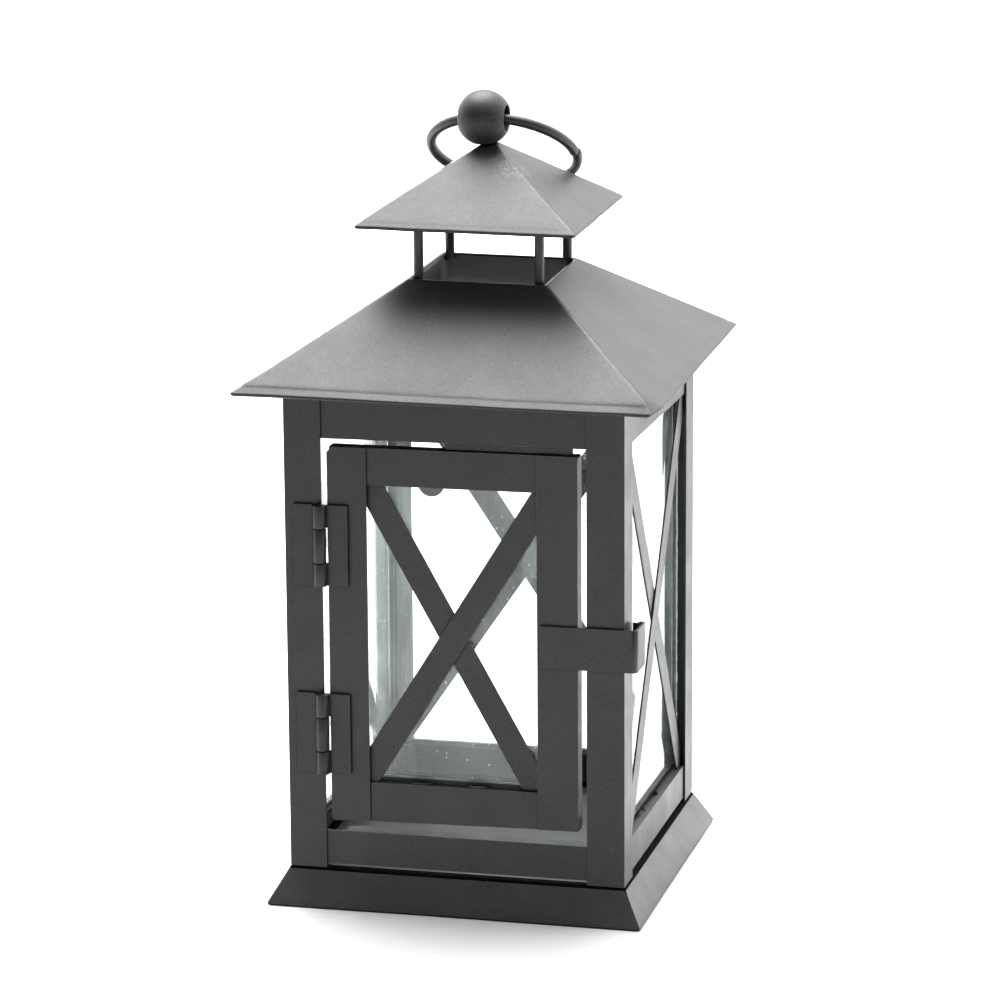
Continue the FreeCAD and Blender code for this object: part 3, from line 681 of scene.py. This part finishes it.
# ------------------------------------------------------------------ base pan
def build_base():
    t = SHEET
    foot, top, fz = 59.0, 52.5, 11.5
    down = (Vector((foot, 0.0)) - Vector((top, fz))).normalized()
    nrm = Vector((-down.y, down.x))
    if nrm.x < 0:
        nrm = -nrm
    a = Vector((top, fz)) - nrm * t / 2
    b = Vector((foot, 0.0)) - nrm * t / 2
    # centre lines meet at the bends
    plate_z = fz - t / 2
    k0 = (plate_z - a.y) / (b.y - a.y)
    k1 = (t / 2 - a.y) / (b.y - a.y)
    p_top = a + (b - a) * k0
    p_foot = a + (b - a) * k1
    line = line_with_bends([Vector((50.6, plate_z)), p_top, p_foot, Vector((foot - 3.2, t / 2))], [0.55, 0.42], seg=6)
    line = split_long(line, 2.6)
    outline = sheet_outline(line, t)
    verts, faces = [], []
    m = len(outline)
    steps = 36
    for side in range(4):
        a4 = side * math.pi / 2 - math.pi / 2
        ca, sa = math.cos(a4), math.sin(a4)
        base_i = len(verts)
        for s in range(steps + 1):
            f = -1.0 + 2.0 * s / steps
            for p in outline:
                gap = 0.09
                if p.y > fz - 2.4:
                    gap = 0.09 + 0.42 * min(1.0, (p.y - (fz - 2.4)) / 1.2)
                half = p.x - gap
                y = f * half
                # skirt bows a touch and the foot line wavers
                low = 1.0 - max(0.0, min(1.0, p.y / fz))
                d = p.x + low * (0.18 * ripple(y, side * 40.0, 30.0, 2.2) - 0.10 * (1 - f * f)) * (1 - abs(f) ** 8)
                verts.append((d * ca - y * sa, d * sa + y * ca, max(p.y, 0.0)))
        for s in range(steps):
            for k in range(m):
                j = (k + 1) % m
                i0 = base_i + s * m
                i1 = base_i + (s + 1) * m
                faces.append((i0 + k, i0 + j, i1 + j, i1 + k))
        faces.append(tuple(base_i + k for k in range(m - 1, -1, -1)))
        faces.append(tuple(base_i + steps * m + k for k in range(m)))
    # floor plate between the four skirts, with gently rounded edges, crowned by a hair
    half = 50.62
    loops = [(half, fz - t), (half, fz), (half - 6, fz), (half - 20, fz), (half - 36, fz), (3.0, fz)]
    n_side = 16
    rings = []
    for hx, z in loops:
        i0 = len(verts)
        for x, y in square_loop(hx, 0.3 if hx > 4 else 1.2, n_side, 3):
            crown = 0.0 if z < fz else 0.16 * ripple(x, y, 34.0, 8.8) * max(0.0, 1.0 - (max(abs(x), abs(y)) / half) ** 4)
            verts.append((x, y, z + crown))
        rings.append((i0, len(verts) - i0))
    for (i0, c), (i1, _) in zip(rings, rings[1:]):
        for k in range(c):
            q = (k + 1) % c
            faces.append((i0 + k, i0 + q, i1 + q, i1 + k))
    i0, c = rings[-1]
    faces.append(tuple(i0 + k for k in range(c)))
    i0, c = rings[0]
    faces.append(tuple(i0 + k for k in range(c - 1, -1, -1)))
    return new_piece("base_shell", verts, faces, "base_paint", "lantern", ["base_pan"], sharp=40)


# ------------------------------------------------------------------ ball and ring
BALL = Vector((-2.9, 0.0, 237.7))
BALL_R, HOLE_R = 8.5, 3.9


def build_ball():
    """Turned ball, bored across for the ring, with rounded mouths."""
    rim = 0.45
    # fillet circle tangent to the sphere and the bore
    rr = HOLE_R + rim
    xx = math.sqrt((BALL_R - rim) ** 2 - rr ** 2)
    prof = []
    inner_n, arc_n, outer_n = 8, 6, 40
    for k in range(inner_n + 1):
        prof.append((-xx + 2 * xx * k / inner_n, HOLE_R))
    end = math.atan2(rr, xx)
    for k in range(1, arc_n + 1):
        a = -math.pi / 2 + (math.pi / 2 + end) * k / arc_n
        prof.append((xx + rim * math.cos(a), rr + rim * math.sin(a)))
    a0 = end
    for k in range(1, outer_n):
        a = a0 + (math.pi - 2 * a0) * k / outer_n
        prof.append((BALL_R * math.cos(a), BALL_R * math.sin(a)))
    for k in range(arc_n, 0, -1):
        a = -math.pi / 2 + (math.pi / 2 + end) * k / arc_n
        prof.append((-(xx + rim * math.cos(a)), rr + rim * math.sin(a)))
    verts, faces = [], []
    around = 72
    n = len(prof)
    for s in range(around):
        b = 2 * math.pi * s / around
        for x, r in prof:
            z = BALL.z + r * math.cos(b)
            if r > HOLE_R + 1.0:
                z = max(z, 229.85)
            verts.append((BALL.x + x, r * math.sin(b), z))
    for s in range(around):
        q = (s + 1) % around
        for k in range(n):
            j = (k + 1) % n
            faces.append((s * n + k, s * n + j, q * n + j, q * n + k))
    return new_piece("ball_bored", leaned(verts), faces, "ball_paint", "lantern", ["ball_finial"], sharp=60)


def build_ring():
    drop = math.radians(35.5)
    dv = Vector((0, math.cos(drop), -math.sin(drop)))
    centre = BALL + Vector((1.7, 0, 0)) + dv * (0.2 + 22.9)
    a_dir, b_dir = -dv, Vector((1, 0, 0))
    nrm = a_dir.cross(b_dir)
    R, w = 22.9, 1.58
    joint, gap = math.radians(87.0), math.radians(0.8)
    steps, around = 180, 20
    verts, faces = [], []
    for s in range(steps + 1):
        f = s / steps
        th = joint + gap / 2 + (2 * math.pi - gap) * f
        # the two ends of the wire don't quite meet, one stands a little out
        end = math.exp(-f * 34.0) - math.exp(-(1 - f) * 34.0)
        rad = R + 0.22 * end + 0.12 * math.cos(2 * th + 0.6)
        lift = 0.16 * end
        edge = min(f, 1 - f) * steps
        size = w * (0.90 if edge < 0.5 else 1.0)
        c = centre + (a_dir * math.cos(th) + b_dir * math.sin(th)) * rad + nrm * lift
        radial = a_dir * math.cos(th) + b_dir * math.sin(th)
        for k in range(around):
            b = 2 * math.pi * k / around
            verts.append(tuple(c + radial * (size * math.cos(b)) + nrm * (size * math.sin(b))))
    for s in range(steps):
        for k in range(around):
            j = (k + 1) % around
            faces.append((s * around + k, s * around + j, (s + 1) * around + j, (s + 1) * around + k))
    faces.append(tuple(range(around - 1, -1, -1)))
    faces.append(tuple(steps * around + k for k in range(around)))
    return new_piece("ring_wire", leaned(verts), faces, "wire_paint", "ring", ["carry_ring"], sharp=45)


build_main_roof()
build_cap()
build_base()
build_seams()
build_ball()
build_ring()


# ------------------------------------------------------------------ floor, light and camera
def build_floor():
    t = Tree("studio_floor")
    v = t.mm()
    p = t.add("ShaderNodeBsdfPrincipled")
    near = t.add("ShaderNodeSeparateXYZ")
    t.nt.links.new(v, near.inputs[0])
    pale = t.mix(t.noise(v, 0.01, 2.0, 0.5), rgb(0.90, 0.90, 0.90), rgb(0.915, 0.915, 0.912))
    t.put(p.inputs["Base Color"], t.mix(t.step(near.outputs["Y"], -170.0, 60.0), rgb(0.625, 0.625, 0.625), pale))
    p.inputs["Roughness"].default_value = 0.7
    p.inputs["Specular IOR Level"].default_value = 0.2
    t.put(t.out.inputs["Surface"], p.outputs[0])
    me = bpy.data.meshes.new("floor")
    S = 6.0
    me.from_pydata([(-S, -S, 0), (S, -S, 0), (S, S, 0), (-S, S, 0)], [], [(0, 1, 2, 3)])
    me.materials.append(t.mat)
    ob = bpy.data.objects.new("floor", me)
    scene.collection.objects.link(ob)


build_floor()


def soft_light(name, place, look_at, w, h, watts, color=(1, 1, 1)):
    data = bpy.data.lights.new(name, "AREA")
    data.shape = "RECTANGLE"
    data.size, data.size_y = w, h
    data.energy = watts
    data.color = color
    ob = bpy.data.objects.new(name, data)
    scene.collection.objects.link(ob)
    ob.location = place
    ob.rotation_euler = (Vector(look_at) - Vector(place)).to_track_quat("-Z", "Y").to_euler()
    ob.visible_camera = False
    return ob


soft_light("overhead_softbox", (-0.15, 0.27, 1.25), (0, 0.06, 0.1), 1.0, 1.0, 34.0, (0.985, 0.995, 1.02))
sweep = soft_light("low_back_panel", (-0.62, 1.55, 0.22), (-0.05, 0, 0.17), 0.9, 0.36, 14.0)
sweep.visible_transmission = False


def build_world():
    w = bpy.data.worlds.new("studio")
    scene.world = w
    w.use_nodes = True
    nt = w.node_tree
    nt.nodes.clear()
    out = nt.nodes.new("ShaderNodeOutputWorld")
    tc = nt.nodes.new("ShaderNodeTexCoord")
    sep = nt.nodes.new("ShaderNodeSeparateXYZ")
    nt.links.new(tc.outputs["Generated"], sep.inputs[0])
    # bright wall behind, pale sides, dim room in front
    back = nt.nodes.new("ShaderNodeMapRange")
    back.interpolation_type = "SMOOTHSTEP"
    nt.links.new(sep.outputs["Y"], back.inputs["Value"])
    back.inputs["From Min"].default_value = -0.6
    back.inputs["From Max"].default_value = 0.6
    back.inputs["To Min"].default_value = 0.15
    back.inputs["To Max"].default_value = 3.5
    bg = nt.nodes.new("ShaderNodeBackground")
    nt.links.new(back.outputs[0], bg.inputs["Strength"])
    seen = nt.nodes.new("ShaderNodeBackground")
    seen.inputs["Color"].default_value = (1, 1, 1, 1)
    seen.inputs["Strength"].default_value = 1.6
    path = nt.nodes.new("ShaderNodeLightPath")
    mix = nt.nodes.new("ShaderNodeMixShader")
    nt.links.new(path.outputs["Is Camera Ray"], mix.inputs[0])
    nt.links.new(bg.outputs[0], mix.inputs[1])
    nt.links.new(seen.outputs[0], mix.inputs[2])
    nt.links.new(mix.outputs[0], out.inputs["Surface"])


build_world()

cam_data = bpy.data.cameras.new("camera")
cam_data.lens = 144.0
cam_data.sensor_width = 36.0
cam_data.clip_start = 0.05
cam_data.clip_end = 50.0
cam = bpy.data.objects.new("camera", cam_data)
scene.collection.objects.link(cam)
yaw, pitch, roll = -0.243847, 0.216371, -0.0067209
fw = Vector((math.sin(yaw) * math.cos(pitch), math.cos(yaw) * math.cos(pitch), -math.sin(pitch)))
right = Vector((math.cos(yaw), -math.sin(yaw), 0.0))
up = right.cross(fw)
r2 = right * math.cos(roll) + up * math.sin(roll)
u2 = right * -math.sin(roll) + up * math.cos(roll)
rot = Matrix((r2, u2, -fw)).transposed()
cam.matrix_world = Matrix.Translation(Vector((0.29544, -1.18130, 0.38539))) @ rot.to_4x4()
scene.camera = cam
scene.view_settings.view_transform = "Standard"
scene.view_settings.look = "None"
scene.view_settings.exposure = 0.0
